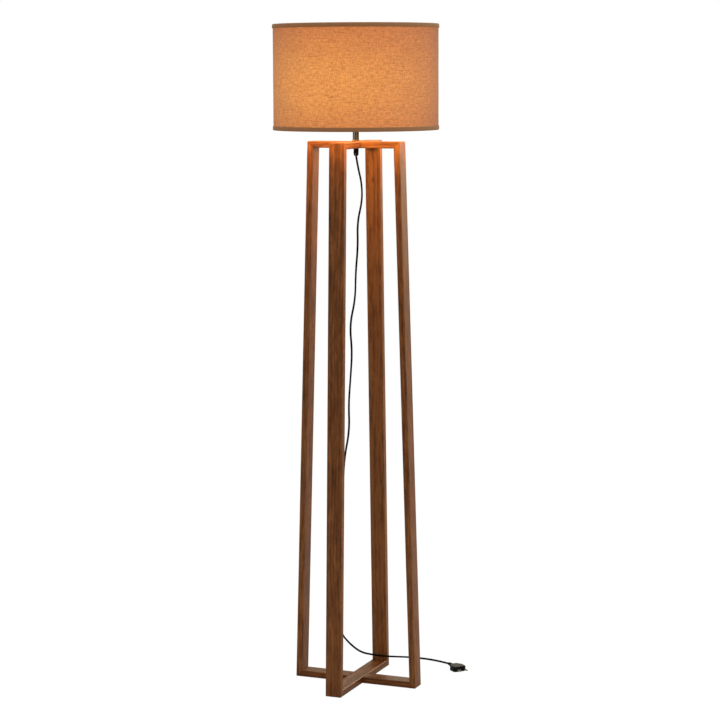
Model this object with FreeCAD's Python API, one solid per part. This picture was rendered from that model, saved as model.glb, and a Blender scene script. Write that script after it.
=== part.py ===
import FreeCAD, Part
import math
import os

# Floor lamp: two plank loops crossed at 90 degrees, a short chrome stem, a screw-in bulb and a
# drum shade. Millimetres, +Z up. The origin is the middle of the footprint, on the floor.
# Loop X stands in the XZ plane, loop Y in the YZ plane.

os.makedirs("parts", exist_ok=True)
Vector = FreeCAD.Vector
UP = Vector(0, 0, 1)

# ---- Wooden frame ----
frame_height = 1336.0
base_half = 160.0  # from the middle to the outer face of a leg, at the floor
top_half = 120.0  # the same, at the top
plank_width = 40.0
plank_thickness = 16.0
edge_radius = 2.0  # rounding along a plank's long edges
corner_radius = 2.5  # rounding of a loop's outer corners
biscuit_length = 10.0  # across the mitre
biscuit_thickness = 3.0
biscuit_width = 26.0
lap_screw_offset = 9.0  # of each screw from the middle of the lap
lap_screw_length = 11.0
lap_screw_shank = 1.6
lap_screw_head = 3.6
lap_screw_recess = 0.6  # of the head above the rail's bottom face
lap_screw_cone = 2.4  # height of the countersunk head
lap_screw_slot = (0.8, 1.0)  # width, depth

# ---- Stem ----
tube_radius = 5.0  # M10 hollow tube
tube_bore = 3.5
tube_hole = 5.15
collar_radius = 10.0
collar_height = 4.0
stem_radius = 8.0
stem_bore = 6.6
nut_pocket_radius = 9.2
nut_pocket_depth = 4.0
nut_across_flats = 14.0
nut_height = 3.0
washer_thickness = 0.8
washer_play = 0.7  # between the washer and the pocket's wall
collar_bevel = 1.4
grip_length = 19.0
grip_radius = 6.25
grip_neck_radius = 5.9
grip_mouth_radius = 4.4
grip_screw_radius = 1.25
grip_screw_rise = 4.5  # of the screw above the grip's mouth

# ---- Lampholder ----
holder_bottom = 1374.0
cap_height = 17.0
cap_radius = 17.5
cap_mouth_radius = 8.5
cap_wall = 1.6
cap_neck_height = 4.0
cap_shoulder_height = 7.0
cap_side_height = 11.0
cap_shoulder_step = 2.5  # of the shoulder inside the cap's side
cap_screw_radius = 1.5
flange_radius = 22.5
flange_thickness = 2.0
skirt_radius = 19.5
skirt_wall = 2.2
skirt_height = 29.0  # from the flange's top to the rim
switch_radius = 2.5
switch_half_length = 25.0
switch_clearance = 0.3
bridge_size = (4.0, 9.0, 1.0)  # the contact the switch bar carries
terminal_x = 4.0
terminal_radius = 1.2
terminal_length = 4.8
tongue_half_width = 2.5
tongue_sheet = 0.45
tongue_rise = 3.0

# ---- Bulb ----
thread_pitch = 3.6
thread_crest = 13.2
thread_root = 12.2
thread_turns = 5
thread_gap = 0.35  # radial, between the bulb's thread and the holder's
shell_wall = 0.4
globe_radius = 30.0
glass_wall = 1.0
neck_radius = 12.2
shoulder_radius = 40.0
neck_length = 3.0  # straight part of the glass above the cap's rim
filament_count = 4
filament_radius = 0.9

# ---- Shade ----
shade_radius = 200.0  # outside of the tape
shade_height = 252.0
shade_bottom = 1363.5
tape_height = 10.0
tape_thickness = 1.2
tape_fold = 0.8  # thickness of the tape where it turns over the wire
tape_fold_height = 5.2  # of the turned-in edge on the inside
tape_rounding = 0.6
fabric_thickness = 0.6
liner_thickness = 0.6
wire_radius = 1.5
arm_radius = 1.5
arm_count = 3
arm_first_angle = 90.0
hub_inner_radius = 20.0
hub_outer_radius = 27.0
hub_thickness = 1.6
shade_gap = 0.3  # between the shade's hub and the flange below or the nut above it
shade_nut_radius = 26.5
shade_nut_barrel = 22.6
shade_nut_height = 9.0
shade_nut_brim = 2.0
shade_nut_ribs = 24
shade_nut_play = 0.3  # between the nut and the lampholder's skirt
groove_radius = 0.9  # of the grooves between the ribs

# ---- Cord and plug ----
cord_diameter = 5.0
core_radius = 1.1
core_offset = 6.5
corner_share = 0.45  # of the shorter run, taken up by a corner's arc
plug_boot_length = 22.0
plug_boot_start = 4.0  # radius at the cord
plug_boot_end = 5.6  # radius at the plug
boot_grooves = 4
plug_length = 36.0
plug_width = 35.0
plug_thickness = 13.7
plug_back_width = 17.0  # where the boot joins it
plug_shoulder = 14.0  # length of the widening part
plug_front_bevel = 4.0
plug_rounding = 2.0
pin_length = 19.0
pin_root = 6.0  # length of a pin inside the body
pin_neck = 1.0  # length of the thinner stretch in front of the body
pin_neck_radius = 1.8
pin_radius = 2.0
pin_tip_rounding = 1.2
pin_spacing = 19.0

# Route of the free cord, from the grip to the plug's strain relief. It hangs inside the frame,
# swings back and over the bottom rail beside the back leg, and runs out along the floor.
cord_route = [
    (0, 0, 1301), (4, 2, 1272), (12, 5, 1237), (12, 9, 1193), (0, 6, 1141), (3, 2, 1081),
    (-5, 6, 1016), (-1, -6, 954), (-15, -9, 891), (-7, -13, 827), (-16, -2, 762), (-20, -6, 695),
    (-14, -15, 632), (-30, -10, 563), (-38, 0, 492), (-39, -4, 418), (-46, 12, 346), (-48, 16, 276),
    (-53, 30, 208), (-58, 34, 150), (-66, 56, 101), (-62, 90, 64), (-42, 118, 40), (-14, 131, 31),
    (19, 132, 30), (44, 157, 25), (53, 204, 13), (70, 243, 4), (102, 248, 2.5), (137, 230, 3.5),
    (166, 205, 6.85),
]

# ---- Heights that follow ----
rail_bottom = frame_height - plank_thickness
grip_bottom = rail_bottom - grip_length
tube_bottom = grip_bottom + 8
tube_top = holder_bottom + 5
cap_top = holder_bottom + cap_height
flange_bottom = cap_top + 8
flange_top = flange_bottom + flange_thickness
holder_rim = flange_top + skirt_height
switch_height = holder_bottom + 13
core_bottom = cap_top + 2
core_top = core_bottom + 8
bulb_bottom = core_top + 3.5
thread_bottom = bulb_bottom + 6
thread_top = thread_bottom + thread_turns * thread_pitch
bulb_skirt_top = thread_top + 4
neck_bottom = bulb_skirt_top - 3
globe_height = neck_bottom + neck_length + math.sqrt(
    (globe_radius + shoulder_radius) ** 2 - (neck_radius + shoulder_radius) ** 2
)
hub_bottom = flange_top + shade_gap
hub_top = hub_bottom + hub_thickness
shade_nut_bottom = hub_top + shade_gap
shade_top = shade_bottom + shade_height
fabric_radius = shade_radius - tape_thickness
liner_radius = fabric_radius - fabric_thickness
liner_inside = liner_radius - liner_thickness
wire_ring_radius = liner_inside - wire_radius - 0.3


# ---- Helpers ----
def turned(outline):
    """A solid of revolution about Z from (radius, height) points."""
    points = [Vector(radius, 0, height) for radius, height in outline]
    face = Part.Face(Part.makePolygon(points + points[:1]))
    return face.revolve(Vector(0, 0, 0), UP, 360)


def ring(inner, outer, bottom, top):
    return turned([(inner, bottom), (outer, bottom), (outer, top), (inner, top)])


def prism(outline, half_width):
    """A solid from (x, z) points, spread evenly to both sides along Y."""
    points = [Vector(x, -half_width, z) for x, z in outline]
    face = Part.Face(Part.makePolygon(points + points[:1]))
    return face.extrude(Vector(0, 2 * half_width, 0))


def rod(start, end, radius):
    """A round rod between two points."""
    way = Vector(*end) - Vector(*start)
    return Part.makeCylinder(radius, way.Length, Vector(*start), way)


def bent_rod(points, radius):
    """A round rod along several points, with a ball at each bend."""
    shape = rod(points[0], points[1], radius)
    for start, end in zip(points[1:], points[2:]):
        shape = shape.fuse(Part.makeSphere(radius, Vector(*start)))
        shape = shape.fuse(rod(start, end, radius))
    return shape.removeSplitter()


def quarter_turn(shape):
    """A copy turned 90 degrees about Z, from loop X to loop Y."""
    turned_copy = shape.copy()
    turned_copy.rotate(Vector(0, 0, 0), UP, 90)
    return turned_copy


def half_turn(shape):
    return quarter_turn(quarter_turn(shape))


def save(name, shape):
    shape.exportStep(f"parts/{name}.step")


# ---- Wooden frame ----
def outer_x(z):
    return base_half + (top_half - base_half) * z / frame_height


def inner_x(z):
    lean = math.hypot(frame_height, base_half - top_half) / frame_height
    return outer_x(z) - plank_thickness * lean


def plank(outer_start, outer_end, inner_start, inner_end):
    """One plank of a loop, given the ends of its outer and inner edges in the XZ plane. The two
    ends are mitre cuts, and the four long edges are rounded."""
    run = Vector(outer_end[0] - outer_start[0], 0, outer_end[1] - outer_start[1])
    along = Vector(run).normalize()
    inward = Vector(inner_start[0] - outer_start[0], 0, inner_start[1] - outer_start[1])
    inward = (inward - along * inward.dot(along)).normalize()
    across = Vector(0, 1, 0)
    overrun = 2 * plank_thickness
    corner = Vector(outer_start[0], 0, outer_start[1]) - along * overrun - across * (plank_width / 2)
    section = Part.makePolygon([
        corner,
        corner + inward * plank_thickness,
        corner + inward * plank_thickness + across * plank_width,
        corner + across * plank_width,
        corner,
    ])
    blank = Part.Face(section).extrude(along * (run.Length + 2 * overrun))
    long_edges = [edge for edge in blank.Edges if edge.Length > run.Length]
    blank = blank.makeFillet(edge_radius, long_edges)

    def mitre_points(outer, inner):
        reach = Vector(inner[0] - outer[0], 0, inner[1] - outer[1])
        start = Vector(outer[0], 0, outer[1]) - reach
        return start, start + reach * 3

    first_out, first_in = mitre_points(outer_start, inner_start)
    last_out, last_in = mitre_points(outer_end, inner_end)
    keep = prism([(p.x, p.z) for p in (first_out, last_out, last_in, first_in)], plank_width)
    return blank.common(keep)


def rounded_loop():
    """The outer shape of a whole loop, with its four corners rounded."""
    outline = [(-base_half, 0), (base_half, 0), (top_half, frame_height), (-top_half, frame_height)]
    solid = prism(outline, plank_width)
    corners = [edge for edge in solid.Edges if abs(edge.tangentAt(edge.FirstParameter).y) > 0.99]
    return solid.makeFillet(corner_radius, corners)


def biscuit(outer, inner):
    """A loose tongue square to the mitre that runs from outer to inner."""
    middle = Vector((outer[0] + inner[0]) / 2, 0, (outer[1] + inner[1]) / 2)
    angle = math.degrees(math.atan2(inner[1] - outer[1], inner[0] - outer[0]))
    size = (biscuit_thickness, biscuit_width, biscuit_length)
    block = Part.makeBox(*size, Vector(*[-value / 2 for value in size]))
    block.rotate(Vector(0, 0, 0), Vector(0, 1, 0), -angle)
    block.translate(middle)
    return block


foot_outer, foot_inner = (base_half, 0), (inner_x(plank_thickness), plank_thickness)
head_outer, head_inner = (top_half, frame_height), (inner_x(rail_bottom), rail_bottom)


def mirrored(point):
    return (-point[0], point[1])


loop_shape = rounded_loop()
right_biscuits = [biscuit(foot_outer, foot_inner), biscuit(head_outer, head_inner)]
x_biscuits = right_biscuits + [half_turn(block) for block in right_biscuits]
y_biscuits = [quarter_turn(block) for block in x_biscuits]


def without(shape, tools):
    for tool in tools:
        shape = shape.cut(tool)
    return shape


leg = plank(foot_outer, head_outer, foot_inner, head_inner).common(loop_shape)
leg = without(leg, right_biscuits)
for name, turns in (("leg_right", 0), ("leg_back", 1), ("leg_left", 2), ("leg_front", 3)):
    placed = leg
    for _ in range(turns):
        placed = quarter_turn(placed)
    save(name, placed)

bottom_rail = plank(mirrored(foot_outer), foot_outer, mirrored(foot_inner), foot_inner)
bottom_rail = without(bottom_rail.common(loop_shape), x_biscuits)
top_rail = plank(mirrored(head_outer), head_outer, mirrored(head_inner), head_inner)
top_rail = without(top_rail.common(loop_shape), x_biscuits)


def lap_notch(bottom):
    """The block taken out of one rail where the other crosses it."""
    half = plank_width / 2
    return Part.makeBox(plank_width, plank_width, plank_thickness / 2, Vector(-half, -half, bottom))


def lap_screw_outline(low):
    """The (radius, height) outline of a countersunk screw whose head starts at height low."""
    head_top = lap_screw_recess + lap_screw_cone
    return [
        (0, low), (lap_screw_head, low), (lap_screw_head, lap_screw_recess), (lap_screw_shank, head_top),
        (lap_screw_shank, lap_screw_length), (0, lap_screw_length + lap_screw_shank),
    ]


def lap_screw():
    """A countersunk wood screw pointing up, its head just inside the rail's bottom face."""
    outline = lap_screw_outline(lap_screw_recess)
    outline.pop(1)
    width, depth = lap_screw_slot
    corner = Vector(-lap_screw_head, -width / 2, lap_screw_recess)
    return turned(outline).cut(Part.makeBox(2 * lap_screw_head, width, depth, corner))


def at_both_sides(shape):
    """Two copies of a screw or its hole, one at each side of the lap."""
    copies = []
    for x in (-lap_screw_offset, lap_screw_offset):
        moved_copy = shape.copy()
        moved_copy.translate(Vector(x, 0, 0))
        copies.append(moved_copy)
    return copies


lap_low, lap_high = 0.0, plank_thickness / 2
screw_holes = at_both_sides(turned(lap_screw_outline(0)))
tube_hole_shape = Part.makeCylinder(tube_hole, plank_thickness, Vector(0, 0, rail_bottom))
nut_pocket = Part.makeCylinder(nut_pocket_radius, nut_pocket_depth, Vector(0, 0, rail_bottom))

save("bottom_rail_x", without(bottom_rail, [lap_notch(lap_high)] + screw_holes))
save("bottom_rail_y", without(quarter_turn(bottom_rail), [lap_notch(lap_low)] + screw_holes))
save("top_rail_x", without(top_rail, [lap_notch(rail_bottom + lap_low), tube_hole_shape]))
save(
    "top_rail_y",
    without(quarter_turn(top_rail), [lap_notch(rail_bottom + lap_high), tube_hole_shape, nut_pocket]),
)
save("corner_biscuits", Part.makeCompound(x_biscuits + y_biscuits))
save("lap_screws", Part.makeCompound(at_both_sides(lap_screw())))


# ---- Stem ----
def hexagon_nut(across_flats, height, bottom, bore):
    corner = across_flats / math.sqrt(3)
    points = [
        Vector(corner * math.cos(math.radians(60 * k)), corner * math.sin(math.radians(60 * k)), bottom)
        for k in range(6)
    ]
    body = Part.Face(Part.makePolygon(points + points[:1])).extrude(UP * height)
    return body.cut(Part.makeCylinder(bore, height, Vector(0, 0, bottom)))


pocket_top = rail_bottom + nut_pocket_depth
washer_bottom = pocket_top - washer_thickness
save("threaded_tube", ring(tube_bore, tube_radius, tube_bottom, tube_top))
save("lock_washer", ring(tube_hole, nut_pocket_radius - washer_play, washer_bottom, pocket_top))
save("lock_nut", hexagon_nut(nut_across_flats, nut_height, washer_bottom - nut_height, tube_radius))

collar_top = frame_height + collar_height
save("stem_collar", turned([
    (tube_hole, frame_height), (collar_radius, frame_height),
    (collar_radius, collar_top - collar_bevel), (collar_radius - collar_bevel, collar_top),
    (tube_hole, collar_top),
]))
save("stem_tube", ring(stem_bore, stem_radius, collar_top, holder_bottom))

cord_radius = cord_diameter / 2
grip_screw_height = grip_bottom + grip_screw_rise
grip = turned([
    (cord_radius, grip_bottom), (grip_mouth_radius, grip_bottom), (grip_radius - 0.4, grip_bottom + 3),
    (grip_radius, grip_bottom + 7), (grip_radius, rail_bottom - 4), (grip_neck_radius, rail_bottom - 2.5),
    (grip_neck_radius, rail_bottom), (tube_radius, rail_bottom), (tube_radius, tube_bottom),
    (cord_radius, tube_bottom),
])


def grip_pin(outer_end):
    """A round pin across the grip's front wall, from the cord out to outer_end."""
    return rod(
        (0, -cord_radius, grip_screw_height), (0, -outer_end, grip_screw_height), grip_screw_radius
    )


save("cord_grip", grip.cut(grip_pin(grip_radius + 1.0)))
save("grip_screw", grip_pin(grip_radius - 0.6))


# ---- Lampholder ----
thread_middle = (thread_crest + thread_root) / 2


def thread_wave(offset, bottom):
    """Points of a rounded thread, as (start, crest or root, end) triples going up."""
    half_pitch = thread_pitch / 2
    middle = thread_middle + offset
    waves = []
    for k in range(2 * thread_turns):
        low = bottom + k * half_pitch
        peak = (thread_crest if k % 2 == 0 else thread_root) + offset
        points = (middle, low), (peak, low + half_pitch / 2), (middle, low + half_pitch)
        waves.append([Vector(radius, 0, height) for radius, height in points])
    return waves


def threaded_sleeve(inner_offset, outer_offset, bottom, below, above):
    """A thin sleeve pressed to a rounded thread, with a plain stretch below and above it."""
    def side(offset):
        plain = thread_middle + offset
        top = bottom + thread_turns * thread_pitch
        low = Vector(plain, 0, bottom - below)
        high = Vector(plain, 0, top + above)
        edges = [Part.LineSegment(low, Vector(plain, 0, bottom)).toShape()]
        edges += [Part.Arc(*points).toShape() for points in thread_wave(offset, bottom)]
        edges.append(Part.LineSegment(Vector(plain, 0, top), high).toShape())
        return edges, low, high

    inner_edges, inner_low, inner_high = side(inner_offset)
    outer_edges, outer_low, outer_high = side(outer_offset)
    ends = [
        Part.LineSegment(inner_low, outer_low).toShape(),
        Part.LineSegment(inner_high, outer_high).toShape(),
    ]
    wire = Part.Wire(Part.__sortEdges__(inner_edges + outer_edges + ends))
    return Part.Face(wire).revolve(Vector(0, 0, 0), UP, 360)


switch_hole = rod(
    (-switch_half_length, 0, switch_height),
    (switch_half_length, 0, switch_height),
    switch_radius + switch_clearance,
)
cap_screw_height = holder_bottom + 2.5
cap_screw = rod(
    (0, tube_radius, cap_screw_height), (0, cap_mouth_radius + 0.8, cap_screw_height), cap_screw_radius
)
cap_neck_top = holder_bottom + cap_neck_height
cap_shoulder = holder_bottom + cap_shoulder_height
cap_side = holder_bottom + cap_side_height
shoulder_x = cap_radius - cap_shoulder_step
holder_bore = cap_radius - cap_wall
holder_cap = turned([
    (tube_radius, holder_bottom), (cap_mouth_radius, holder_bottom), (cap_mouth_radius, cap_neck_top),
    (shoulder_x, cap_shoulder), (cap_radius, cap_side), (cap_radius, cap_top),
    (holder_bore, cap_top), (holder_bore, cap_side + 0.4),
    (shoulder_x - cap_wall, cap_shoulder + 1.4), (tube_radius, cap_neck_top + 1.0),
])
save("holder_cap", holder_cap.cut(switch_hole).cut(cap_screw))
save("holder_cap_screw", cap_screw)

skirt_bore = skirt_radius - skirt_wall
holder_body = turned([
    (holder_bore, cap_top), (cap_radius, cap_top), (cap_radius, flange_bottom),
    (flange_radius, flange_bottom), (flange_radius, flange_top), (skirt_radius, flange_top),
    (skirt_radius, holder_rim), (skirt_bore, holder_rim), (skirt_bore, flange_top),
    (holder_bore, flange_top),
])
save("holder_body", holder_body)

core_hole = core_radius + 0.2
lead_top = core_top - 3
terminal_bottom = core_bottom - 0.8
core_shape = Part.makeCylinder(holder_bore, core_top - core_bottom, Vector(0, 0, core_bottom))
terminal_screws = []
for y in (-core_offset, core_offset):
    core_shape = core_shape.cut(rod((0, y, core_bottom), (0, y, lead_top), core_hole))
    screw_end = terminal_bottom + terminal_length
    screw = rod((terminal_x, y, terminal_bottom), (terminal_x, y, screw_end), terminal_radius)
    core_shape = core_shape.cut(screw)
    terminal_screws.append(screw)
save("holder_core", core_shape)
save("terminal_screws", Part.makeCompound(terminal_screws))

save("holder_screw_shell", threaded_sleeve(
    thread_gap, thread_gap + shell_wall, thread_bottom, thread_bottom - core_top, 1.0
))
tongue_top = core_top + tongue_rise
save("holder_centre_contact", prism(
    [(-9, core_top), (6, core_top), (6, core_top + tongue_sheet), (-6, core_top + tongue_sheet),
     (2, tongue_top), (2, tongue_top + tongue_sheet), (-6.6, core_top + 2 * tongue_sheet),
     (-9, core_top + tongue_sheet)],
    tongue_half_width,
))

switch_bar = rod(
    (-switch_half_length, 0, switch_height), (switch_half_length, 0, switch_height), switch_radius
)
bar_ends = [edge for edge in switch_bar.Edges if edge.Curve.TypeId == "Part::GeomCircle"]
switch_bar = switch_bar.makeFillet(1.2, bar_ends)
bridge_low = switch_height + switch_radius - bridge_size[2] / 2
bridge = Part.makeBox(*bridge_size, Vector(-bridge_size[0] / 2, -bridge_size[1] / 2, bridge_low))
save("switch_bar", switch_bar.cut(bridge))
save("switch_contact", bridge)

nut_inside = skirt_radius + shade_nut_play
nut_top = shade_nut_bottom + shade_nut_height
brim_top = shade_nut_bottom + shade_nut_brim
shade_nut = turned([
    (nut_inside, shade_nut_bottom), (shade_nut_radius, shade_nut_bottom), (shade_nut_radius, brim_top),
    (shade_nut_barrel, brim_top + 0.4), (shade_nut_barrel, nut_top), (nut_inside, nut_top),
])
for k in range(shade_nut_ribs):
    angle = math.radians(360 * k / shade_nut_ribs)
    reach = shade_nut_barrel + 0.3
    place = Vector(reach * math.cos(angle), reach * math.sin(angle), brim_top + 0.4)
    shade_nut = shade_nut.cut(Part.makeCylinder(groove_radius, shade_nut_height, place))
save("shade_nut", shade_nut)


# ---- Bulb ----
def bulb_side(shrink):
    """The glass wall's line from its top, round the globe and the shoulder, down the neck."""
    globe = globe_radius - shrink
    shoulder = shoulder_radius + shrink
    shoulder_x = neck_radius + shoulder_radius
    shoulder_z = neck_bottom + neck_length
    drop = globe_height - shoulder_z
    reach = globe_radius + shoulder_radius
    join = Vector(shoulder_x * globe / reach, 0, globe_height - drop * globe / reach)
    join_angle = math.atan2(-drop, shoulder_x)
    half_angle = (math.pi / 2 + join_angle) / 2
    middle = Vector(globe * math.cos(half_angle), 0, globe_height + globe * math.sin(half_angle))
    top = Vector(0, 0, globe_height + globe)
    neck_high = Vector(shoulder_x - shoulder, 0, shoulder_z)
    bend_angle = math.pi + join_angle / 2
    bend = Vector(
        shoulder_x + shoulder * math.cos(bend_angle), 0, shoulder_z + shoulder * math.sin(bend_angle)
    )
    neck_low = Vector(neck_high.x, 0, neck_bottom)
    return [
        Part.Arc(top, middle, join).toShape(),
        Part.Arc(join, bend, neck_high).toShape(),
        Part.LineSegment(neck_high, neck_low).toShape(),
    ], top, neck_low


outer_edges, outer_top, outer_low = bulb_side(0)
inner_edges, inner_top, inner_low = bulb_side(glass_wall)
wall_ends = [
    Part.LineSegment(outer_top, inner_top).toShape(),
    Part.LineSegment(outer_low, inner_low).toShape(),
]
glass_wire = Part.Wire(Part.__sortEdges__(outer_edges + inner_edges + wall_ends))
save("bulb_glass", Part.Face(glass_wire).revolve(Vector(0, 0, 0), UP, 360))

cap_inside = thread_middle - shell_wall
cap_hem = 2.0  # plain stretch of the cap below its thread
cap_low = thread_bottom - cap_hem
tip_top = bulb_bottom + 1.2
bulb_cap = threaded_sleeve(-shell_wall, 0, thread_bottom, cap_hem, bulb_skirt_top - thread_top)
save("bulb_cap", bulb_cap)
save("bulb_insulator", turned([
    (0, tip_top), (4.5, tip_top), (5.2, tip_top + 0.8), (thread_middle, cap_low), (cap_inside, cap_low),
    (cap_inside, thread_bottom), (0, thread_bottom),
]))
save("bulb_tip", turned([(0, bulb_bottom), (3.2, bulb_bottom), (4.2, tip_top), (0, tip_top)]))
glass_inside = neck_radius - glass_wall
mount_top = globe_height + 4
save("bulb_mount", turned([
    (0, thread_top), (glass_inside, thread_top), (glass_inside, thread_top + 1.2),
    (5.0, bulb_skirt_top + 8), (2.6, globe_height - 24), (2.0, mount_top), (0, mount_top + 2),
]))
filament_low = (6.5, globe_height - 22)  # radius and height of a filament's lower end
filament_high = (10.5, globe_height + 14)
filaments = []
for k in range(filament_count):
    angle = math.radians(360 * (k + 0.5) / filament_count)
    low, high = [
        (radius * math.cos(angle), radius * math.sin(angle), height)
        for radius, height in (filament_low, filament_high)
    ]
    filaments.append(rod(low, high, filament_radius))
save("bulb_filaments", Part.makeCompound(filaments))


# ---- Shade ----
fabric_low = shade_bottom + tape_fold
fabric_high = shade_top - tape_fold
save("shade_fabric", ring(liner_radius, fabric_radius, fabric_low, fabric_high))
save("shade_liner", ring(liner_inside, liner_radius, fabric_low, fabric_high))

wire_rise = tape_fold + wire_radius + 0.3
wire_low = shade_bottom + wire_rise
wire_high = shade_top - wire_rise
wires = {}
for name, height in (("shade_wire_bottom", wire_low), ("shade_wire_top", wire_high)):
    wires[name] = Part.makeTorus(wire_ring_radius, wire_radius, Vector(0, 0, height))
    save(name, wires[name])

tape_inside = wire_ring_radius - wire_radius - tape_fold


def tape(edge, inward):
    """The folded tape at one edge. edge is its height, and inward is 1 at the bottom, -1 at the top."""
    def level(distance):
        return edge + inward * distance

    return turned([
        (tape_inside, level(tape_fold)), (tape_inside + tape_fold, level(0)),
        (shade_radius - tape_rounding, level(0)), (shade_radius, level(tape_rounding)),
        (shade_radius, level(tape_height)), (fabric_radius, level(tape_height)),
        (fabric_radius, level(tape_fold)), (liner_inside, level(tape_fold)),
        (liner_inside, level(tape_fold_height)), (tape_inside, level(tape_fold_height)),
    ])


save("shade_trim_bottom", tape(shade_bottom, 1).cut(wires["shade_wire_bottom"]))
save("shade_trim_top", tape(shade_top, -1).cut(wires["shade_wire_top"]))
save("shade_hub", ring(hub_inner_radius, hub_outer_radius, hub_bottom, hub_top))


def shade_arm(angle):
    """A wire arm, level beside the hub and then sloping down to the bottom ring."""
    hub_level = (hub_bottom + hub_top) / 2
    knee_radius = hub_outer_radius + 8
    ring_level = wire_low + wire_radius + 1.8
    heel_radius = tape_inside - 5
    points = [
        (hub_outer_radius - 1, 0, hub_level), (knee_radius, 0, hub_level),
        (heel_radius, 0, ring_level), (liner_inside - 1.7, 0, ring_level),
    ]
    arm = bent_rod(points, arm_radius)
    arm.rotate(Vector(0, 0, 0), UP, angle)
    return arm


disc_bottom = hub_bottom - 2 * hub_thickness
hub_disc = Part.makeCylinder(hub_outer_radius, 5 * hub_thickness, Vector(0, 0, disc_bottom))
bottom_tape = tape(shade_bottom, 1)
for k in range(arm_count):
    arm = shade_arm(arm_first_angle + 360 * k / arm_count)
    save(f"shade_arm_{k + 1}", arm.cut(hub_disc).cut(bottom_tape).cut(wires["shade_wire_bottom"]))


# ---- Wiring ----
def corner_radius_at(before, corner, after):
    """The arc radius and the arc's two ends where the route turns at corner."""
    back = before - corner
    ahead = after - corner
    shorter = min(back.Length, ahead.Length)
    half_turn_angle = (math.pi - back.getAngle(ahead)) / 2
    setback = corner_share * shorter
    radius = setback / math.tan(half_turn_angle)
    start = corner + Vector(back).normalize() * setback
    end = corner + Vector(ahead).normalize() * setback
    return radius, start, end


def route_wire(points):
    """Straight runs joined by tangent arcs, with the radius of each arc printed."""
    points = [Vector(*point) for point in points]
    edges = []
    place = points[0]
    radii = []
    for before, corner, after in zip(points, points[1:], points[2:]):
        radius, start, end = corner_radius_at(before, corner, after)
        bisector = (start - corner) + (end - corner)
        to_centre = Vector(bisector).normalize() * math.hypot(radius, (start - corner).Length)
        centre = corner + to_centre
        middle = centre - Vector(to_centre).normalize() * radius
        edges.append(Part.LineSegment(place, start).toShape())
        edges.append(Part.Arc(start, middle, end).toShape())
        place = end
        radii.append(round(radius))
    edges.append(Part.LineSegment(place, points[-1]).toShape())
    print("cord radii, mm:", radii)
    return Part.Wire(edges)


def cord_tube(points):
    path = route_wire(points)
    way = Vector(*points[1]) - Vector(*points[0])
    section = Part.Wire(Part.makeCircle(cord_radius, Vector(*points[0]), way))
    tube = path.makePipeShell([section], True, True)
    expected = math.pi * cord_radius ** 2 * path.Length
    print(f"cord: length {path.Length:.1f} mm, volume {tube.Volume:.0f}, section x length {expected:.0f}")
    return tube


save("cord", cord_tube(cord_route))
flex_top = holder_bottom + 6
save("stem_flex", rod((0, 0, grip_bottom), (0, 0, flex_top), cord_radius))


def core_lead(side):
    """One insulated core, from the end of the flex round the switch bar to its terminal."""
    inner_y = side * (core_radius + 0.2)
    outer_y = side * core_offset
    points = [
        (0, inner_y, flex_top), (0, inner_y, flex_top + 1.2), (0, outer_y, flex_top + 4.8),
        (0, outer_y, lead_top),
    ]
    return bent_rod(points, core_radius)


save("core_live", core_lead(1))
save("core_neutral", core_lead(-1))


# ---- Plug, built along +X from the cord's end and then turned to the cord's heading ----
along_x = Vector(1, 0, 0)


def plug_boot():
    """The strain relief, a cone with ring grooves."""
    boot = Part.makeCone(plug_boot_start, plug_boot_end, plug_boot_length, Vector(0, 0, 0), along_x)
    widening = (plug_boot_end - plug_boot_start) / plug_boot_length
    for k in range(1, boot_grooves + 1):
        groove_x = k * plug_boot_start
        groove_ring = plug_boot_start + widening * groove_x + 1.6
        boot = boot.cut(Part.makeTorus(groove_ring, 1.0, Vector(groove_x, 0, 0), along_x))
    return boot


def plug_body():
    back = plug_boot_length
    front = back + plug_length
    narrow, wide = plug_back_width / 2, plug_width / 2
    bevel = plug_front_bevel
    half = [
        (back, narrow), (back + plug_shoulder, wide), (front - bevel, wide), (front, wide - bevel),
    ]
    outline = half + [(x, -y) for x, y in reversed(half)]
    points = [Vector(x, y, -plug_thickness / 2) for x, y in outline]
    body = Part.Face(Part.makePolygon(points + points[:1])).extrude(UP * plug_thickness)
    return body.makeFillet(plug_rounding, body.Edges)


def plug_pin(side):
    """A pin with a thinner neck, which is set into the body."""
    front = plug_boot_length + plug_length
    y = side * pin_spacing / 2
    neck = rod((front - pin_root, y, 0), (front + pin_neck, y, 0), pin_neck_radius)
    shaft = rod((front + pin_neck, y, 0), (front + pin_length, y, 0), pin_radius)
    circles = [edge for edge in shaft.Edges if edge.Curve.TypeId == "Part::GeomCircle"]
    tip = [edge for edge in circles if edge.CenterOfMass.x > front + pin_length / 2]
    return neck.fuse(shaft.makeFillet(pin_tip_rounding, tip))


pins = [plug_pin(side) for side in (-1, 1)]
plug_pieces = {
    "plug_boot": plug_boot(),
    "plug_body": without(plug_body(), pins),
    "plug_pins": Part.makeCompound(pins),
}
plug_place = Vector(*cord_route[-1])
plug_way = plug_place - Vector(*cord_route[-2])
plug_heading = math.degrees(math.atan2(plug_way.y, plug_way.x))
for name, piece in plug_pieces.items():
    piece.rotate(Vector(0, 0, 0), UP, plug_heading)
    piece.translate(plug_place)
    save(name, piece)
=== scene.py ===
import math

import bpy
from mathutils import Matrix, Vector, noise


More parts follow.
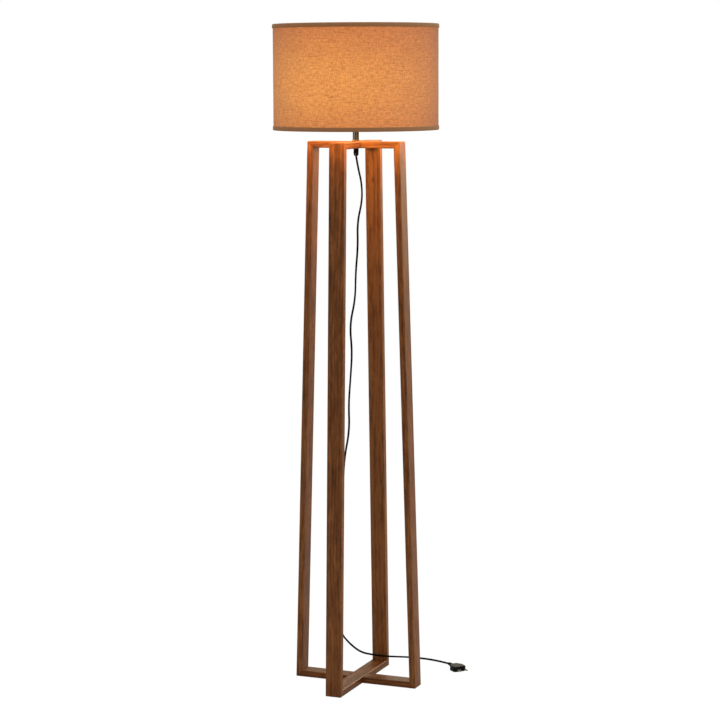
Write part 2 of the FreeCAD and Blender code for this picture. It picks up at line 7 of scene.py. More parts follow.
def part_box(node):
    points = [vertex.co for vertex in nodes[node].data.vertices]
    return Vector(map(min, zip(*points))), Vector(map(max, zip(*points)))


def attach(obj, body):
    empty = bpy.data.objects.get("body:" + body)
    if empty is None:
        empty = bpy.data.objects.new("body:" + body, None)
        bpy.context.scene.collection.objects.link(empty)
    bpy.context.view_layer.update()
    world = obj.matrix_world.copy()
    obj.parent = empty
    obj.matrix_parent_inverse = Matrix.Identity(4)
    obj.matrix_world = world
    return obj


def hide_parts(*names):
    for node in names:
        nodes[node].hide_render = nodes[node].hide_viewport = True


# Floor lamp: a frame of two crossed plank loops, a short chrome stem, a lit bulb, a linen drum
# shade and a black twin flex. Metres, +Z up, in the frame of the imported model.

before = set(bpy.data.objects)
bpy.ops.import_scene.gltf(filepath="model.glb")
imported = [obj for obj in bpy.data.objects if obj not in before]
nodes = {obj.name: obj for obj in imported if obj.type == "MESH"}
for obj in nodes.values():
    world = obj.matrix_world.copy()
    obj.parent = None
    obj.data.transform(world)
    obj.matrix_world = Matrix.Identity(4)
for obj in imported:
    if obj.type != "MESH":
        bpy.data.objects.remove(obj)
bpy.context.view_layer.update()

# ---- Camera ----
camera_distance = 5.2803  # from the lamp's axis
camera_height = 1.5044
camera_azimuth = 22.474  # degrees, from -Y towards +X
camera_yaw = -0.082
camera_pitch = -7.552
camera_roll = -0.211
camera_lens = 109.1

# ---- Cord ----
cord_width = 0.005
cord_core_radius = 0.0022  # of each of the twin flex's two round sides
cord_twist = 0.46  # length of flex over which it makes one turn
cord_section_points = 20  # round the flex
cord_line_points = 14  # on the smooth line for each point of the route
cord_route = [
    (0, 0, 1.301), (0.004, 0.002, 1.272), (0.012, 0.005, 1.237), (0.012, 0.009, 1.193),
    (0, 0.006, 1.141), (0.003, 0.002, 1.081), (-0.005, 0.006, 1.016), (-0.001, -0.006, 0.954),
    (-0.015, -0.009, 0.891), (-0.007, -0.013, 0.827), (-0.016, -0.002, 0.762),
    (-0.020, -0.006, 0.695), (-0.014, -0.015, 0.632), (-0.030, -0.010, 0.563), (-0.038, 0, 0.492),
    (-0.039, -0.004, 0.418), (-0.046, 0.012, 0.346), (-0.050, 0.016, 0.276), (-0.055, 0.030, 0.208),
    (-0.061, 0.034, 0.150), (-0.070, 0.056, 0.101), (-0.062, 0.090, 0.067), (-0.042, 0.118, 0.038),
    (-0.014, 0.131, 0.031), (0.019, 0.132, 0.030), (0.044, 0.157, 0.025), (0.053, 0.204, 0.013),
    (0.070, 0.237, 0.004), (0.102, 0.240, 0.0025), (0.137, 0.227, 0.0035), (0.166, 0.205, 0.00685),
]

# ---- Shade cloth ----
cloth_columns = 384
cloth_rows = 48
cloth_ripple = 0.00018
cloth_ripple_scale = 22.0
seam_columns = 4  # of the cloth's columns that lie double in the glued overlap at the back
seam_shade = 0.30  # share of the light that the second layer there holds back
seam_step = 0.0004  # from the first layer to the second
tape_height = 0.0102  # of the tape's outer face
tape_turn_in = 0.0044  # height of the tape's inner edge above the fold
tape_proud = 0.0013  # from the seam's second layer to the tape's outer face
tape_depth = 0.0044  # from the liner's outer face inwards to the tape's inner face
tape_pucker = 0.00022
tape_pucker_scale = (55, 55, 160)

# ---- Light ----
bulb_power = 0.6  # watts of the bulb's own light
bulb_light_radius = 0.022
lamp_colour = (1.0, 0.61, 0.23)
liner_power = 10.3  # watts of the light that the liner spreads
liner_panels = 8
panel_share = 0.9  # of the liner's width and height that the panels cover
panel_distance = 0.92  # of the cloth's radius, from the lamp's axis
room_light = 0.57  # brightness of the room as it lights dull surfaces
backdrop_light = 1.0
floor_reach = 40.0
floor_light = 1.10  # brightness of the part of the floor that is seen as backdrop
floor_share = 0.88  # how much of what is seen of the floor is backdrop
# Walls that shiny surfaces reflect: bearing from the camera's side in degrees, half width of the
# bright part, half width where it has faded out, brightness
walls = [
    (-85, 12, 30, 0.26), (-46, 4, 14, 0.52), (26, 4, 12, 0.20),
    (90, 16, 30, 0.07), (150, 18, 30, 3.10), (180, 30, 50, 0.38),
]
dim_wall = 0.03  # brightness between the walls
wall_colour = (1.0, 0.93, 0.72, 1)
# Softboxes: name, bearing from the camera's side in degrees, distance, height, size, watts
softboxes = [
    ("softbox_left", -70, 2.6, 1.3, (1.0, 2.6), 7),
    ("softbox_right", 80, 2.6, 1.3, (1.0, 2.6), 28),
    ("softbox_top", 0, 0.4, 4.2, (2.6, 2.6), 50),
]
softbox_aim = (0, 0, 0.8)


# ---- Node helpers ----
def add(tree, kind, inputs=None, **settings):
    """Adds a shader node. inputs maps a socket's name or number to a value or another output."""
    node = tree.nodes.new("ShaderNode" + kind)
    for name, value in settings.items():
        setattr(node, name, value)
    for name, value in (inputs or {}).items():
        if isinstance(value, bpy.types.NodeSocket):
            tree.links.new(value, node.inputs[name])
        else:
            node.inputs[name].default_value = value
    return node


def maths(tree, operation, first, second=0.0):
    return add(tree, "Math", {0: first, 1: second}, operation=operation).outputs[0]


def scaled(tree, vector, scale):
    """The vector multiplied by a scale for each axis."""
    return add(tree, "VectorMath", {0: vector, 1: scale}, operation="MULTIPLY").outputs[0]


def noise_of(tree, vector, scale=1.0, detail=3.0, roughness=0.5):
    inputs = {"Vector": vector, "Scale": scale, "Detail": detail, "Roughness": roughness}
    return add(tree, "TexNoise", inputs).outputs["Fac"]


def remap(tree, value, low, high, new_low, new_high):
    """Takes a value from one range to another, and holds it at the ends."""
    return add(tree, "MapRange", {
        "Value": value, "From Min": low, "From Max": high, "To Min": new_low, "To Max": new_high,
    }).outputs[0]


def blend(tree, factor, first, second):
    """Goes from the first colour to the second as the factor goes from 0 to 1."""
    return add(tree, "Mix", {0: factor, 6: first, 7: second}, data_type="RGBA").outputs[2]


def ramp(tree, factor, stops):
    """A colour ramp from (position, colour) stops."""
    node = add(tree, "ValToRGB", {"Fac": factor})
    elements = node.color_ramp.elements
    while len(elements) < len(stops):
        elements.new(1.0)
    for element, (position, colour) in zip(elements, stops):
        element.position = position
        element.color = (*colour, 1.0)
    return node.outputs["Color"]


def bump(tree, height, distance, strength):
    inputs = {"Height": height, "Distance": distance, "Strength": strength}
    return add(tree, "Bump", inputs).outputs["Normal"]


def material(name, build):
    """A material whose build function gets its tree and returns its shader's output."""
    made = bpy.data.materials.new(name)
    made.use_nodes = True
    tree = made.node_tree
    tree.nodes.clear()
    add(tree, "OutputMaterial", {"Surface": build(tree)})
    return made


def place(tree):
    """Coordinates in the piece's own frame, in metres."""
    return add(tree, "TexCoord").outputs["Object"]


def dress(made, *names):
    """Gives CAD nodes a material."""
    for name in names:
        for slot in nodes[name].material_slots:
            slot.material = made


def mesh_piece(name, vertices, faces, smooth=True):
    """A new object in the scene from its vertices and faces."""
    mesh = bpy.data.meshes.new(name)
    mesh.from_pydata(vertices, [], faces)
    mesh.polygons.foreach_set("use_smooth", [smooth] * len(mesh.polygons))
    piece = bpy.data.objects.new(name, mesh)
    bpy.context.scene.collection.objects.link(piece)
    return piece


# ---- Camera ----
def make_camera():
    angle = math.radians(camera_azimuth)
    data = bpy.data.cameras.new("camera")
    data.lens = camera_lens
    data.clip_end = 200
    camera = bpy.data.objects.new("camera", data)
    bpy.context.scene.collection.objects.link(camera)
    across = camera_distance * math.sin(angle)
    spot = Vector((across, -camera_distance * math.cos(angle), camera_height))
    turn = Matrix.Rotation(angle + math.radians(camera_yaw), 4, "Z")
    tilt = Matrix.Rotation(math.radians(90 + camera_pitch), 4, "X")
    roll = Matrix.Rotation(math.radians(camera_roll), 4, "Z")
    camera.matrix_world = Matrix.Translation(spot) @ turn @ tilt @ roll
    bpy.context.scene.camera = camera


make_camera()


# ---- Cord ----
def route_line():
    """The points of the smooth curve that the cord's route controls."""
    curve = bpy.data.curves.new("cord_line", "CURVE")
    curve.dimensions = "3D"
    curve.resolution_u = cord_line_points
    spline = curve.splines.new("NURBS")
    spline.points.add(len(cord_route) - 1)
    for point, spot in zip(spline.points, cord_route):
        point.co = (*spot, 1.0)
    spline.order_u = 3
    spline.use_endpoint_u = True
    holder = bpy.data.objects.new("cord_line", curve)
    line = bpy.data.meshes.new_from_object(holder)
    points = [vertex.co.copy() for vertex in line.vertices]
    bpy.data.meshes.remove(line)
    bpy.data.objects.remove(holder)
    bpy.data.curves.remove(curve)
    return points


def flex_radius(angle):
    """Distance from the middle of a twin flex to its surface, where 0 is along its width."""
    offset = cord_width / 2 - cord_core_radius
    across = offset * math.sin(angle)
    return offset * abs(math.cos(angle)) + math.sqrt(cord_core_radius ** 2 - across ** 2)


def make_cord():
    """The twin flex: its section, slowly twisted, follows the smooth line."""
    line = route_line()
    side = Vector((1, 0, 0))
    travelled = 0.0
    vertices, faces = [], []
    count = cord_section_points
    for k, spot in enumerate(line):
        ahead = line[min(k + 1, len(line) - 1)] - line[max(k - 1, 0)]
        ahead.normalize()
        side = (side - ahead * side.dot(ahead)).normalized()
        up = ahead.cross(side)
        if k:
            travelled += (spot - line[k - 1]).length
        twist = 2 * math.pi * travelled / cord_twist
        for j in range(count):
            angle = 2 * math.pi * j / count
            radius = flex_radius(angle)
            turned = angle + twist
            vertices.append(spot + (side * math.cos(turned) + up * math.sin(turned)) * radius)
    for k in range(len(line) - 1):
        for j in range(count):
            first, second = k * count + j, k * count + (j + 1) % count
            faces.append((first, second, second + count, first + count))
    faces.append(tuple(reversed(range(count))))
    faces.append(tuple(range(len(vertices) - count, len(vertices))))
    flex = mesh_piece("twin_flex", vertices, faces)
    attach(flex, "stand")
    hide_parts("cord")
    return flex


flex = make_cord()


# ---- Wood ----
# Colours of the stained wood, by its tone
wood_stops = [
    (0.22, (0.056, 0.0160, 0.0044)), (0.42, (0.118, 0.0345, 0.0093)),
    (0.58, (0.176, 0.0550, 0.0148)), (0.80, (0.280, 0.1000, 0.0280)),
]
pore_colour = (0.040, 0.0120, 0.0045, 1)
worn_colour = (0.260, 0.1150, 0.0480, 1)
# Streaks, patches, fibres and flecks of the grain: how fine each is along, over and through a
# plank, and its noise's detail and roughness
grain_patterns = [
    ((9.0, 230.0, 230.0), 4.0, 0.6), ((13.0, 60.0, 60.0), 4.0, 0.6),
    ((45.0, 1900.0, 1900.0), 3.0, 0.7), ((38.0, 150.0, 150.0), 3.0, 0.6),
]
# How far each pattern moves the tone
ring_weight = 0.22
streak_weight = 0.70
patch_weight = 0.66
fleck_weight = 0.52
tone_shift = -0.55  # brings their sum into the range of the stops
ring_scale = 46.0
pith_over = 0.045  # from a plank's middle line to its rings' centre, over its width
pith_step = 0.012  # how much less that is in each next plank
pith_through = 0.030  # and the same through its thickness
wander_over = 0.030  # how far the rings' centre wanders, over and through the plank
wander_through = 0.022
knot_wander = 0.002  # how far a knot's outline wanders
wear_reach = 0.0030  # distance from a plank's edge at which wear begins
wear_full = 0.0006  # and at which it is full
plank_half_width = (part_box("leg_right")[1].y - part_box("leg_right")[0].y) / 2
plank_half_thickness = (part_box("top_rail_x")[1].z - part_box("top_rail_x")[0].z) / 2


def plank_place(tree, centre, along, across):
    """Coordinates in a plank's own frame: X along it, Y over its width, Z through it."""
    along, across = Vector(along).normalized(), Vector(across).normalized()
    turn = Matrix((along, across, along.cross(across)))
    shift = -(turn @ Vector(centre))
    mapping = add(tree, "Mapping", {
        "Vector": place(tree), "Location": shift, "Rotation": turn.to_euler(),
    })
    return mapping.outputs[0]


def wood_shader(tree, centre, along, across, lightness_and_painted_light, knots, seed):
    """Stained straight-grained wood. knots are ((along, across), size) spots, and seed picks the
    part of the grain that the plank shows."""
    local = plank_place(tree, centre, along, across)
    shift = (seed * 1.7, seed * 0.31, seed * 0.47)
    shifted = add(tree, "VectorMath", {0: local, 1: shift}).outputs[0]
    # A slow wander of the grain, which bends the growth rings into long arches.
    wander = noise_of(tree, scaled(tree, shifted, (2.2, 9.0, 9.0)), detail=2.0)
    pith_place = (0.0, pith_over - pith_step * seed, pith_through)
    pith = add(tree, "VectorMath", {0: local, 1: pith_place}).outputs[0]
    over = maths(tree, "MULTIPLY", wander, wander_over)
    swing = add(tree, "CombineXYZ", {"Y": over, "Z": wander}).outputs[0]
    swing = scaled(tree, swing, (0.0, 1.0, wander_through))
    bent = add(tree, "VectorMath", {0: pith, 1: swing}).outputs[0]
    rings = add(tree, "TexWave", {
        "Vector": bent, "Scale": ring_scale, "Distortion": 1.6, "Detail": 3.0, "Detail Scale": 0.7,
    }, wave_type="RINGS", rings_direction="X", wave_profile="SAW").outputs["Fac"]
    streaks, patches, fibres, flecks = (
        noise_of(tree, scaled(tree, shifted, scale), detail=detail, roughness=roughness)
        for scale, detail, roughness in grain_patterns
    )
    tone = maths(tree, "MULTIPLY", rings, ring_weight)
    for pattern, weight in (
        (streaks, streak_weight), (patches, patch_weight), (flecks, fleck_weight),
    ):
        tone = maths(tree, "ADD", tone, maths(tree, "MULTIPLY", pattern, weight))
    # The plank's lightness, partly its own tone and partly painted light, moves its whole tone.
    tone = maths(tree, "ADD", tone, lightness_and_painted_light + tone_shift)
    colour = ramp(tree, tone, wood_stops)
    pores = remap(tree, fibres, 0.58, 0.72, 0.0, 0.55)
    colour = blend(tree, pores, colour, pore_colour)
    for spot, size in knots:
        away = add(tree, "VectorMath", {0: local, 1: (-spot[0], -spot[1], 0)}).outputs[0]
        away = scaled(tree, away, (0.6, 1.0, 0.2))
        reach = add(tree, "VectorMath", {0: away}, operation="LENGTH")
        uneven = maths(tree, "MULTIPLY", wander, knot_wander)
        uneven = maths(tree, "ADD", reach.outputs["Value"], uneven)
        dark = remap(tree, uneven, size * 0.4, size * 1.6, 0.75, 0.0)
        colour = blend(tree, dark, colour, pore_colour)
    # Wear: the rounded long edges are rubbed lighter in places.
    parts = add(tree, "SeparateXYZ", {0: local}).outputs
    wear = remap(tree, patches, 0.40, 0.70, 0.10, 0.60)
    for axis, half in (("Y", plank_half_width), ("Z", plank_half_thickness)):
        away = maths(tree, "ABSOLUTE", parts[axis])
        near = remap(tree, away, half - wear_reach, half - wear_full, 0.0, 1.0)
        wear = maths(tree, "MULTIPLY", wear, near)
    colour = blend(tree, wear, colour, worn_colour)
    roughness = remap(tree, streaks, 0.3, 0.7, 0.30, 0.42)
    height = maths(tree, "SUBTRACT", maths(tree, "MULTIPLY", streaks, 0.6), pores)
    return add(tree, "BsdfPrincipled", {
        "Base Color": colour, "Roughness": roughness, "Normal": bump(tree, height, 0.00025, 0.6),
        "Specular IOR Level": 0.42, "Specular Tint": (1.0, 0.74, 0.46, 1),
    }).outputs[0]


def dress_planks():
    """Each plank gets its own piece of grain, running along it, and its own lightness, partly its
    own tone and partly painted light: the back and side legs are lighter for the extra light that
    falls on them.
    """
    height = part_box("top_rail_x")[1].z
    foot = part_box("leg_right")[1].x
    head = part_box("top_rail_x")[1].x
    middle = (foot + head) / 2 - plank_half_thickness
    lean = (foot - head) / height
    half = height / 2
    left_knots = [((-0.21, 0.004), 0.004)]
    front_knots = [((0.596, 0.0155), 0.003)]
    back_knots = [((0.57, 0.001), 0.004)]
    # Centre, direction along, direction across, lightness (partly painted light), knots
    planks = {
        "leg_right": ((middle, 0, half), (-lean, 0, 1), (0, 1, 0), 0.12, []),
        "leg_left": ((-middle, 0, half), (lean, 0, 1), (0, 1, 0), 0.12, left_knots),
        "leg_front": ((0, -middle, half), (0, lean, 1), (1, 0, 0), 0.06, front_knots),
        "leg_back": ((0, middle, half), (0, -lean, 1), (1, 0, 0), 0.22, back_knots),
    }
    for name, along, across in (("x", (1, 0, 0), (0, 1, 0)), ("y", (0, 1, 0), (1, 0, 0))):
        for level in ("top", "bottom"):
            low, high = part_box(f"{level}_rail_{name}")
            planks[f"{level}_rail_{name}"] = ((low + high) / 2, along, across, 0.0, [])
    for seed, (name, plank) in enumerate(planks.items()):
        dress(material(f"oiled_wood_{name}", lambda tree: wood_shader(tree, *plank, seed)), name)


dress_planks()


def biscuit_shader(tree):
    """Raw beech."""
    grain = noise_of(tree, scaled(tree, place(tree), (900, 900, 90)), detail=3.0)
    colour = ramp(tree, grain, [(0.3, (0.44, 0.29, 0.16)), (0.7, (0.62, 0.45, 0.28))])
    return add(tree, "BsdfPrincipled", {"Base Color": colour, "Roughness": 0.7}).outputs[0]


dress(material("beech", biscuit_shader), "corner_biscuits")


# ---- Plastics and metals ----
def plastic(name, colour, roughness, grain=2500.0, depth=0.00004, gloss=0.3):
    """A moulded plastic with a fine surface texture and small changes of gloss."""
    def build(tree):
        spot = place(tree)
        fine = noise_of(tree, spot, scale=grain, detail=2.0)
        broad = noise_of(tree, spot, scale=60.0, detail=3.0)
        dark = tuple(0.8 * value for value in colour)
        light = tuple(1.25 * value for value in colour)
        return add(tree, "BsdfPrincipled", {
            "Base Color": ramp(tree, broad, [(0.3, dark), (0.7, light)]),
            "Roughness": remap(tree, broad, 0.3, 0.7, roughness - 0.06, roughness + 0.08),
            "Normal": bump(tree, fine, depth, 0.5), "Specular IOR Level": gloss,
        }).outputs[0]
    return material(name, build)


def metal(name, colour, roughness, brush=(400.0, 400.0, 400.0), streak=0.5):
    """A metal with fine brush or polish marks and faint smudges."""
    def build(tree):
        spot = place(tree)
        marks = noise_of(tree, scaled(tree, spot, brush), detail=3.0)
        smudge = noise_of(tree, spot, scale=45.0, detail=4.0, roughness=0.6)
        dull = tuple(0.88 * value for value in colour)
        rough = maths(tree, "MULTIPLY", maths(tree, "ADD", marks, smudge), roughness)
        return add(tree, "BsdfPrincipled", {
            "Base Color": ramp(tree, smudge, [(0.35, dull), (0.65, colour)]),
            "Metallic": 1.0, "Roughness": rough, "Normal": bump(tree, marks, 0.00003, streak),
        }).outputs[0]
    return material(name, build)


black_plastic = plastic("black_plastic", (0.0045, 0.0042, 0.0040), 0.45, gloss=0.22)
black_flex = plastic(
    "black_flex", (0.0028, 0.0027, 0.0026), 0.60, grain=900.0, depth=0.00002, gloss=0.10,
)
zinc_steel = metal("zinc_steel", (0.58, 0.58, 0.55), 0.34)
brass = metal("brass", (0.78, 0.56, 0.24), 0.28)
nickel = metal("bulb_nickel", (0.66, 0.63, 0.58), 0.24, brush=(90.0, 90.0, 2400.0))
# The chrome's warm brown tint is painted reflection of the orange-lit shade and wood around the
# stem.
chrome = metal("chrome", (0.64, 0.46, 0.33), 0.05, brush=(1800.0, 1800.0, 60.0), streak=0.15)
satin_chrome = metal(
    "satin_chrome", (0.72, 0.60, 0.48), 0.36, brush=(1200.0, 1200.0, 60.0), streak=0.2,
)

dress(
    black_plastic, "cord_grip", "holder_cap", "holder_body", "switch_bar", "shade_nut",
    "bulb_insulator", "plug_boot", "plug_body",
)
dress(black_flex, "cord", "stem_flex")
dress(
    zinc_steel, "lap_screws", "threaded_tube", "lock_washer", "lock_nut", "grip_screw",
    "holder_cap_screw",
)
dress(brass, "terminal_screws", "holder_screw_shell", "holder_centre_contact", "switch_contact")
dress(nickel, "bulb_cap", "bulb_tip", "plug_pins")
dress(chrome, "stem_tube")
dress(satin_chrome, "stem_collar")
dress(plastic("brown_core", (0.20, 0.08, 0.03), 0.4, depth=0.00001), "core_live")
dress(plastic("blue_core", (0.04, 0.12, 0.40), 0.4, depth=0.00001), "core_neutral")
dress(plastic("ivory_insulator", (0.74, 0.70, 0.62), 0.25, grain=300.0), "holder_core")
dress(
    plastic("white_wire", (0.78, 0.76, 0.71), 0.35, grain=700.0),
    "shade_wire_top", "shade_wire_bottom", "shade_hub", "shade_arm_1", "shade_arm_2", "shade_arm_3",
)
flex.data.materials.append(black_flex)


# ---- Bulb ----
bulb_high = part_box("bulb_glass")[1]
globe_radius = bulb_high.x
globe_centre = Vector((0, 0, bulb_high.z - globe_radius))


def glass_shader(tree):
    """Thin clear glass, a little dusty, that lets the light through."""
    dust = noise_of(tree, place(tree), scale=240.0, detail=4.0)
    return add(tree, "BsdfPrincipled", {
        "Base Color": ramp(tree, dust, [(0.4, (0.95, 0.92, 0.86)), (0.7, (1.0, 0.99, 0.97))]),
        "Roughness": remap(tree, dust, 0.35, 0.7, 0.02, 0.08), "IOR": 1.45, "Alpha": 0.16,
    }).outputs[0]


def filament_shader(tree):
    """Phosphor-coated sticks, grainy along their length."""
    grain = noise_of(tree, place(tree), scale=900.0, detail=2.0)
    return add(tree, "BsdfPrincipled", {
        "Base Color": (1.0, 0.78, 0.40, 1), "Roughness": 0.6,
        "Emission Color": ramp(tree, grain, [(0.3, (1.0, 0.52, 0.16)), (0.7, (1.0, 0.72, 0.32))]),
        "Emission Strength": 14.0,
    }).outputs[0]


bulb_glass = material("bulb_glass", glass_shader)
dress(bulb_glass, "bulb_glass", "bulb_mount")
dress(material("filament", filament_shader), "bulb_filaments")


# ---- Shade ----
shade_low, shade_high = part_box("shade_fabric")
liner_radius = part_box("shade_liner")[1].x
cloth_radius = (shade_high.x + liner_radius) / 2
tape_radius = cloth_radius + tape_proud + seam_step
tape_inner_radius = liner_radius - tape_depth
seam_overlap = seam_columns * 2 * math.pi * cloth_radius / cloth_columns
trim_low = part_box("shade_trim_bottom")[0].z
trim_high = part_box("shade_trim_top")[1].z


def cloth_place(tree):
    """Coordinates on the unrolled drum: X round it from the front, Y up it, in metres."""
    parts = add(tree, "SeparateXYZ", {0: place(tree)}).outputs
    angle = maths(tree, "ARCTAN2", parts["X"], maths(tree, "MULTIPLY", parts["Y"], -1.0))
    return add(tree, "CombineXYZ", {
        "X": maths(tree, "MULTIPLY", angle, cloth_radius), "Y": parts["Z"],
    }).outputs[0]


yarn_weight = 0.50  # of the weft and of the warp in the cloth's thickness
slub_weight = 0.09


def weave(tree, spot):
    """How thick the yarn is, from 0 to 1: fine warp and weft, with longer thick slubs."""
    weft = noise_of(tree, scaled(tree, spot, (75.0, 340.0, 1.0)), detail=5.0, roughness=0.65)
    warp = noise_of(tree, scaled(tree, spot, (330.0, 95.0, 1.0)), detail=5.0, roughness=0.65)
    slub = noise_of(tree, scaled(tree, spot, (22.0, 300.0, 1.0)), detail=2.0, roughness=0.5)
    thick = remap(tree, slub, 0.55, 0.75, 0.0, slub_weight)
    weft = maths(tree, "MULTIPLY", weft, yarn_weight)
    warp = maths(tree, "MULTIPLY", warp, yarn_weight)
    return maths(tree, "ADD", maths(tree, "ADD", weft, warp), thick)


# Where the light that the linen passes on comes from, and its colour opposite the bulb, at the
# drum's edges and through thick yarn
glow_spot = (-0.008, -0.012, globe_centre.z - 0.005)
glow_centre = (0.96, 0.360, 0.064, 1)
glow_edge = (0.85, 0.245, 0.049, 1)
glow_thick = (1.00, 0.240, 0.034, 1)
glow_fall = 3.0  # power of the distance by which it falls off
glow_near = 0.36  # strength of the part that falls off
glow_even = 0.61  # strength of the part that doesn't
linen_stops = [(0.30, (0.200, 0.140, 0.080)), (0.75, (0.115, 0.078, 0.042))]
tape_stops = [(0.30, (0.205, 0.140, 0.078)), (0.80, (0.110, 0.075, 0.040))]
liner_stops = [(0.35, (0.30, 0.235, 0.150)), (0.65, (0.20, 0.145, 0.085))]


def linen_shader(tree):
    """Linen lit from behind: the bulb's light falls off up and down the drum, and thicker yarn and
    the double cloth of the seam let less of it through."""
    spot = cloth_place(tree)
    yarn = weave(tree, spot)
    away = add(tree, "VectorMath", {0: place(tree), 1: glow_spot}, operation="DISTANCE")
    near = maths(tree, "DIVIDE", cloth_radius, away.outputs["Value"])
    fall = maths(tree, "POWER", near, glow_fall)
    cloudy = noise_of(tree, scaled(tree, spot, (16.0, 22.0, 1.0)), detail=3.0, roughness=0.6)
    strength = maths(tree, "ADD", maths(tree, "MULTIPLY", fall, glow_near), glow_even)
    strength = maths(tree, "MULTIPLY", strength, remap(tree, yarn, 0.34, 0.68, 1.42, 0.56))
    strength = maths(tree, "MULTIPLY", strength, remap(tree, cloudy, 0.3, 0.7, 0.95, 1.05))
    turned = add(tree, "SeparateXYZ", {0: spot}).outputs["X"]
    double = maths(tree, "GREATER_THAN", turned, math.pi * cloth_radius - seam_overlap)
    passed = remap(tree, double, 0.0, 1.0, 1.0, 1.0 - seam_shade)
    strength = maths(tree, "MULTIPLY", strength, passed)
    colour = blend(tree, remap(tree, fall, 0.60, 1.15, 0.0, 1.0), glow_edge, glow_centre)
    colour = blend(tree, remap(tree, yarn, 0.46, 0.66, 0.0, 0.60), colour, glow_thick)
    return add(tree, "BsdfPrincipled", {
        "Base Color": ramp(tree, yarn, linen_stops), "Roughness": 0.9, "Specular IOR Level": 0.1,
        "Normal": bump(tree, yarn, 0.0004, 0.7),
        "Emission Color": colour, "Emission Strength": strength,
        "Sheen Weight": 0.30, "Sheen Roughness": 0.55, "Sheen Tint": (0.62, 0.50, 0.36, 1),
        "Coat Weight": 1.0, "Coat IOR": 1.085, "Coat Roughness": 0.9,
        "Coat Tint": (0.74, 0.74, 0.84, 1),
    }).outputs[0]


def tape_shader(tree):
    """The same linen, cut on the bias, folded double and glued, so that hardly any light comes
    through."""
    spot = cloth_place(tree)
    bias = add(tree, "Mapping", {"Vector": spot, "Rotation": (0, 0, math.radians(45))}).outputs[0]
    yarn = weave(tree, bias)
    return add(tree, "BsdfPrincipled", {
        "Base Color": ramp(tree, yarn, tape_stops),
        "Roughness": 0.92, "Specular IOR Level": 0.1, "Normal": bump(tree, yarn, 0.0004, 0.8),
        "Emission Color": (0.80, 0.21, 0.035, 1), "Emission Strength": 0.15,
        "Sheen Weight": 0.25, "Sheen Roughness": 0.5, "Sheen Tint": (0.60, 0.50, 0.38, 1),
    }).outputs[0]


def liner_shader(tree):
    """The milky sheet inside the linen, with the weave showing through it, and a faint painted warm
    glow that stands in for the bulb's light on it.
    """
    yarn = weave(tree, cloth_place(tree))
    return add(tree, "BsdfPrincipled", {
        "Base Color": ramp(tree, yarn, liner_stops),
        # Painted glow: the warm emission stands in for the bulb's light on the liner.
        "Roughness": 0.45, "Emission Color": (1.0, 0.50, 0.18, 1), "Emission Strength": 0.30,
    }).outputs[0]


def around(column):
    """The unit direction of one of the drum's columns, starting at the back."""
    angle = 2 * math.pi * column / cloth_columns
    return Vector((math.sin(angle), math.cos(angle), 0))


def make_linen():
    """The linen drum: one sheet round the liner, its ends overlapped and glued at the back."""
    vertices, faces = [], []
    columns = cloth_columns + seam_columns + 1
    for column in range(columns):
        step = seam_step if column >= cloth_columns else 0.0
        direction = around(column)
        for row in range(cloth_rows + 1):
            height = shade_low.z + (shade_high.z - shade_low.z) * row / cloth_rows
            spot = direction * cloth_radius + Vector((0, 0, height))
            ripple = cloth_ripple * noise.noise(spot * cloth_ripple_scale)
            vertices.append(spot + direction * (step + ripple))
    for column in range(columns - 1):
        for row in range(cloth_rows):
            first = column * (cloth_rows + 1) + row
            faces.append((first, first + 1, first + cloth_rows + 2, first + cloth_rows + 1))
    return mesh_piece("linen_drum", vertices, faces)


def make_tape(name, edge, inward):
    """A strip of tape folded over one wire. edge is the height of the fold, and inward is 1 where
    the drum is above it and -1 where it is below."""
    outer, inner = tape_radius, tape_inner_radius
    # The strip's section, as radius and height above the fold: from the cloth over the outer
    # face, round the fold and up the inside to the turned-in edge
    outline = [
        (cloth_radius + 0.0003, tape_height - 0.0002), (outer - 0.0009, tape_height),
        (outer - 0.0003, tape_height - 0.0008), (outer, tape_height * 0.65),
        (outer, tape_height * 0.40), (outer - 0.0003, 0.0016), (outer - 0.0009, 0.0005),
        (outer - 0.0018, 0.0), (inner + 0.0016, 0.0001), (inner + 0.0004, 0.0008),
        (inner, 0.0020), (inner + 0.0001, tape_turn_in), (inner + 0.0012, tape_turn_in + 0.0008),
    ]
    vertices, faces = [], []
    for column in range(cloth_columns):
        direction = around(column)
        for radius, rise in outline:
            spot = direction * radius + Vector((0, 0, edge + inward * rise))
            pucker = tape_pucker * noise.noise(spot * Vector(tape_pucker_scale))
            vertices.append(spot + direction * pucker)
    rows = len(outline)
    for column in range(cloth_columns):
        for row in range(rows - 1):
            first = column * rows + row
            second = (column + 1) % cloth_columns * rows + row
            face = (first, first + 1, second + 1, second)
            faces.append(face if inward > 0 else tuple(reversed(face)))
    tape = mesh_piece(name, vertices, faces)
    width = sum(math.dist(a, b) for a, b in zip(outline, outline[1:]))
    return tape, width


drum = make_linen()
drum.data.materials.append(material("linen", linen_shader))
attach(drum, "shade")
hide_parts("shade_fabric")
tape_cloth = material("linen_tape", tape_shader)
for tape_name, node_name, edge, inward in (
    ("tape_bottom", "shade_trim_bottom", trim_low, 1),
    ("tape_top", "shade_trim_top", trim_high, -1),
):
    tape, tape_width = make_tape(tape_name, edge, inward)
    tape.data.materials.append(tape_cloth)
    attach(tape, "shade")
    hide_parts(node_name)
dress(material("shade_liner", liner_shader), "shade_liner")


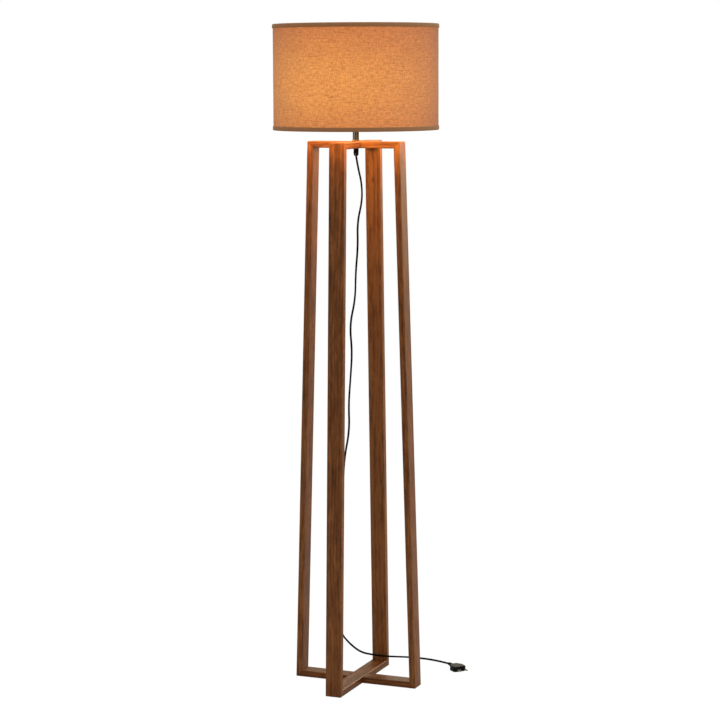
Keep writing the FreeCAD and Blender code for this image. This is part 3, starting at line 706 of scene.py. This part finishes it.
# ---- Floor and light ----
def floor_shader(tree):
    """Plain pale floor, seen as brightly as the backdrop, with only faint shadows on it."""
    marks = noise_of(tree, place(tree), scale=3.0, detail=4.0)
    seen = add(tree, "LightPath").outputs["Is Camera Ray"]
    lit = add(tree, "BsdfDiffuse", {
        "Color": ramp(tree, marks, [(0.3, (0.44, 0.44, 0.43)), (0.7, (0.48, 0.48, 0.47))]),
    }).outputs[0]
    white = add(tree, "Emission", {"Color": (1, 1, 1, 1), "Strength": floor_light}).outputs[0]
    share = maths(tree, "MULTIPLY", seen, floor_share)
    return add(tree, "MixShader", {0: share, 1: lit, 2: white}).outputs[0]


def make_floor():
    reach = floor_reach
    corners = [(-reach, -reach, 0), (reach, -reach, 0), (reach, reach, 0), (-reach, reach, 0)]
    floor = mesh_piece("floor", corners, [(0, 1, 2, 3)], smooth=False)
    floor.data.materials.append(material("pale_floor", floor_shader))


def make_world():
    """A white backdrop, an even light on dull surfaces, and the walls that shiny ones reflect."""
    world = bpy.data.worlds.new("studio")
    bpy.context.scene.world = world
    world.use_nodes = True
    tree = world.node_tree
    tree.nodes.clear()
    rays = add(tree, "LightPath").outputs
    parts = add(tree, "SeparateXYZ", {0: add(tree, "TexCoord").outputs["Generated"]}).outputs
    bearing = maths(tree, "ARCTAN2", parts["X"], maths(tree, "MULTIPLY", parts["Y"], -1.0))
    reflected = dim_wall
    for azimuth, inner, outer, brightness in walls:
        turn = maths(tree, "SUBTRACT", bearing, math.radians(camera_azimuth + azimuth))
        near = remap(
            tree, maths(tree, "COSINE", turn),
            math.cos(math.radians(outer)), math.cos(math.radians(inner)), 0.0, brightness,
        )
        reflected = maths(tree, "MAXIMUM", near, reflected)
    strength = add(tree, "Mix", {0: rays["Is Glossy Ray"], 2: room_light, 3: reflected}).outputs[0]
    tint = blend(tree, rays["Is Glossy Ray"], (1, 1, 1, 1), wall_colour)
    light = add(tree, "Background", {"Color": tint, "Strength": strength}).outputs[0]
    white = {"Color": (1, 1, 1, 1), "Strength": backdrop_light}
    backdrop = add(tree, "Background", white).outputs[0]
    shown = add(tree, "MixShader", {0: rays["Is Camera Ray"], 1: light, 2: backdrop}).outputs[0]
    add(tree, "OutputWorld", {"Surface": shown})


def place_light(data, spot):
    """Links a light that is never seen itself."""
    light = bpy.data.objects.new(data.name, data)
    bpy.context.scene.collection.objects.link(light)
    light.location = spot
    light.visible_camera = False
    light.visible_glossy = False
    return light


def make_panel(name, spot, target, size, power, colour=(1, 1, 1)):
    """A flat soft light at a spot, facing a target."""
    data = bpy.data.lights.new(name, "AREA")
    data.shape = "RECTANGLE"
    data.size, data.size_y = size
    data.energy = power
    data.color = colour
    aim = Vector(target) - Vector(spot)
    light = place_light(data, spot)
    light.rotation_euler = aim.to_track_quat("-Z", "Y").to_euler()


def around_lamp(azimuth, distance, height):
    """A spot at an azimuth in degrees from the front, at a distance from the lamp's axis."""
    angle = math.radians(azimuth)
    return (distance * math.sin(angle), -distance * math.cos(angle), height)


def make_lamp_light():
    """The bulb's own light, and panels inside the drum for the glow of its liner."""
    bulb = bpy.data.lights.new("bulb_light", "POINT")
    bulb.energy = bulb_power
    bulb.shadow_soft_size = bulb_light_radius
    bulb.color = lamp_colour
    place_light(bulb, globe_centre)
    height = (shade_low.z + shade_high.z) / 2
    width = panel_share * 2 * math.pi * cloth_radius / liner_panels
    size = (width, panel_share * (shade_high.z - shade_low.z))
    power = liner_power / liner_panels
    for k in range(liner_panels):
        spot = around_lamp(360 * k / liner_panels, panel_distance * cloth_radius, height)
        make_panel(f"liner_light_{k}", spot, (0, 0, height), size, power, lamp_colour)


make_floor()
make_world()
for name, azimuth, distance, height, size, power in softboxes:
    spot = around_lamp(camera_azimuth + azimuth, distance, height)
    make_panel(name, spot, softbox_aim, size, power)
make_lamp_light()
bpy.context.scene.view_settings.view_transform = "Standard"

bpy.context.view_layer.update()
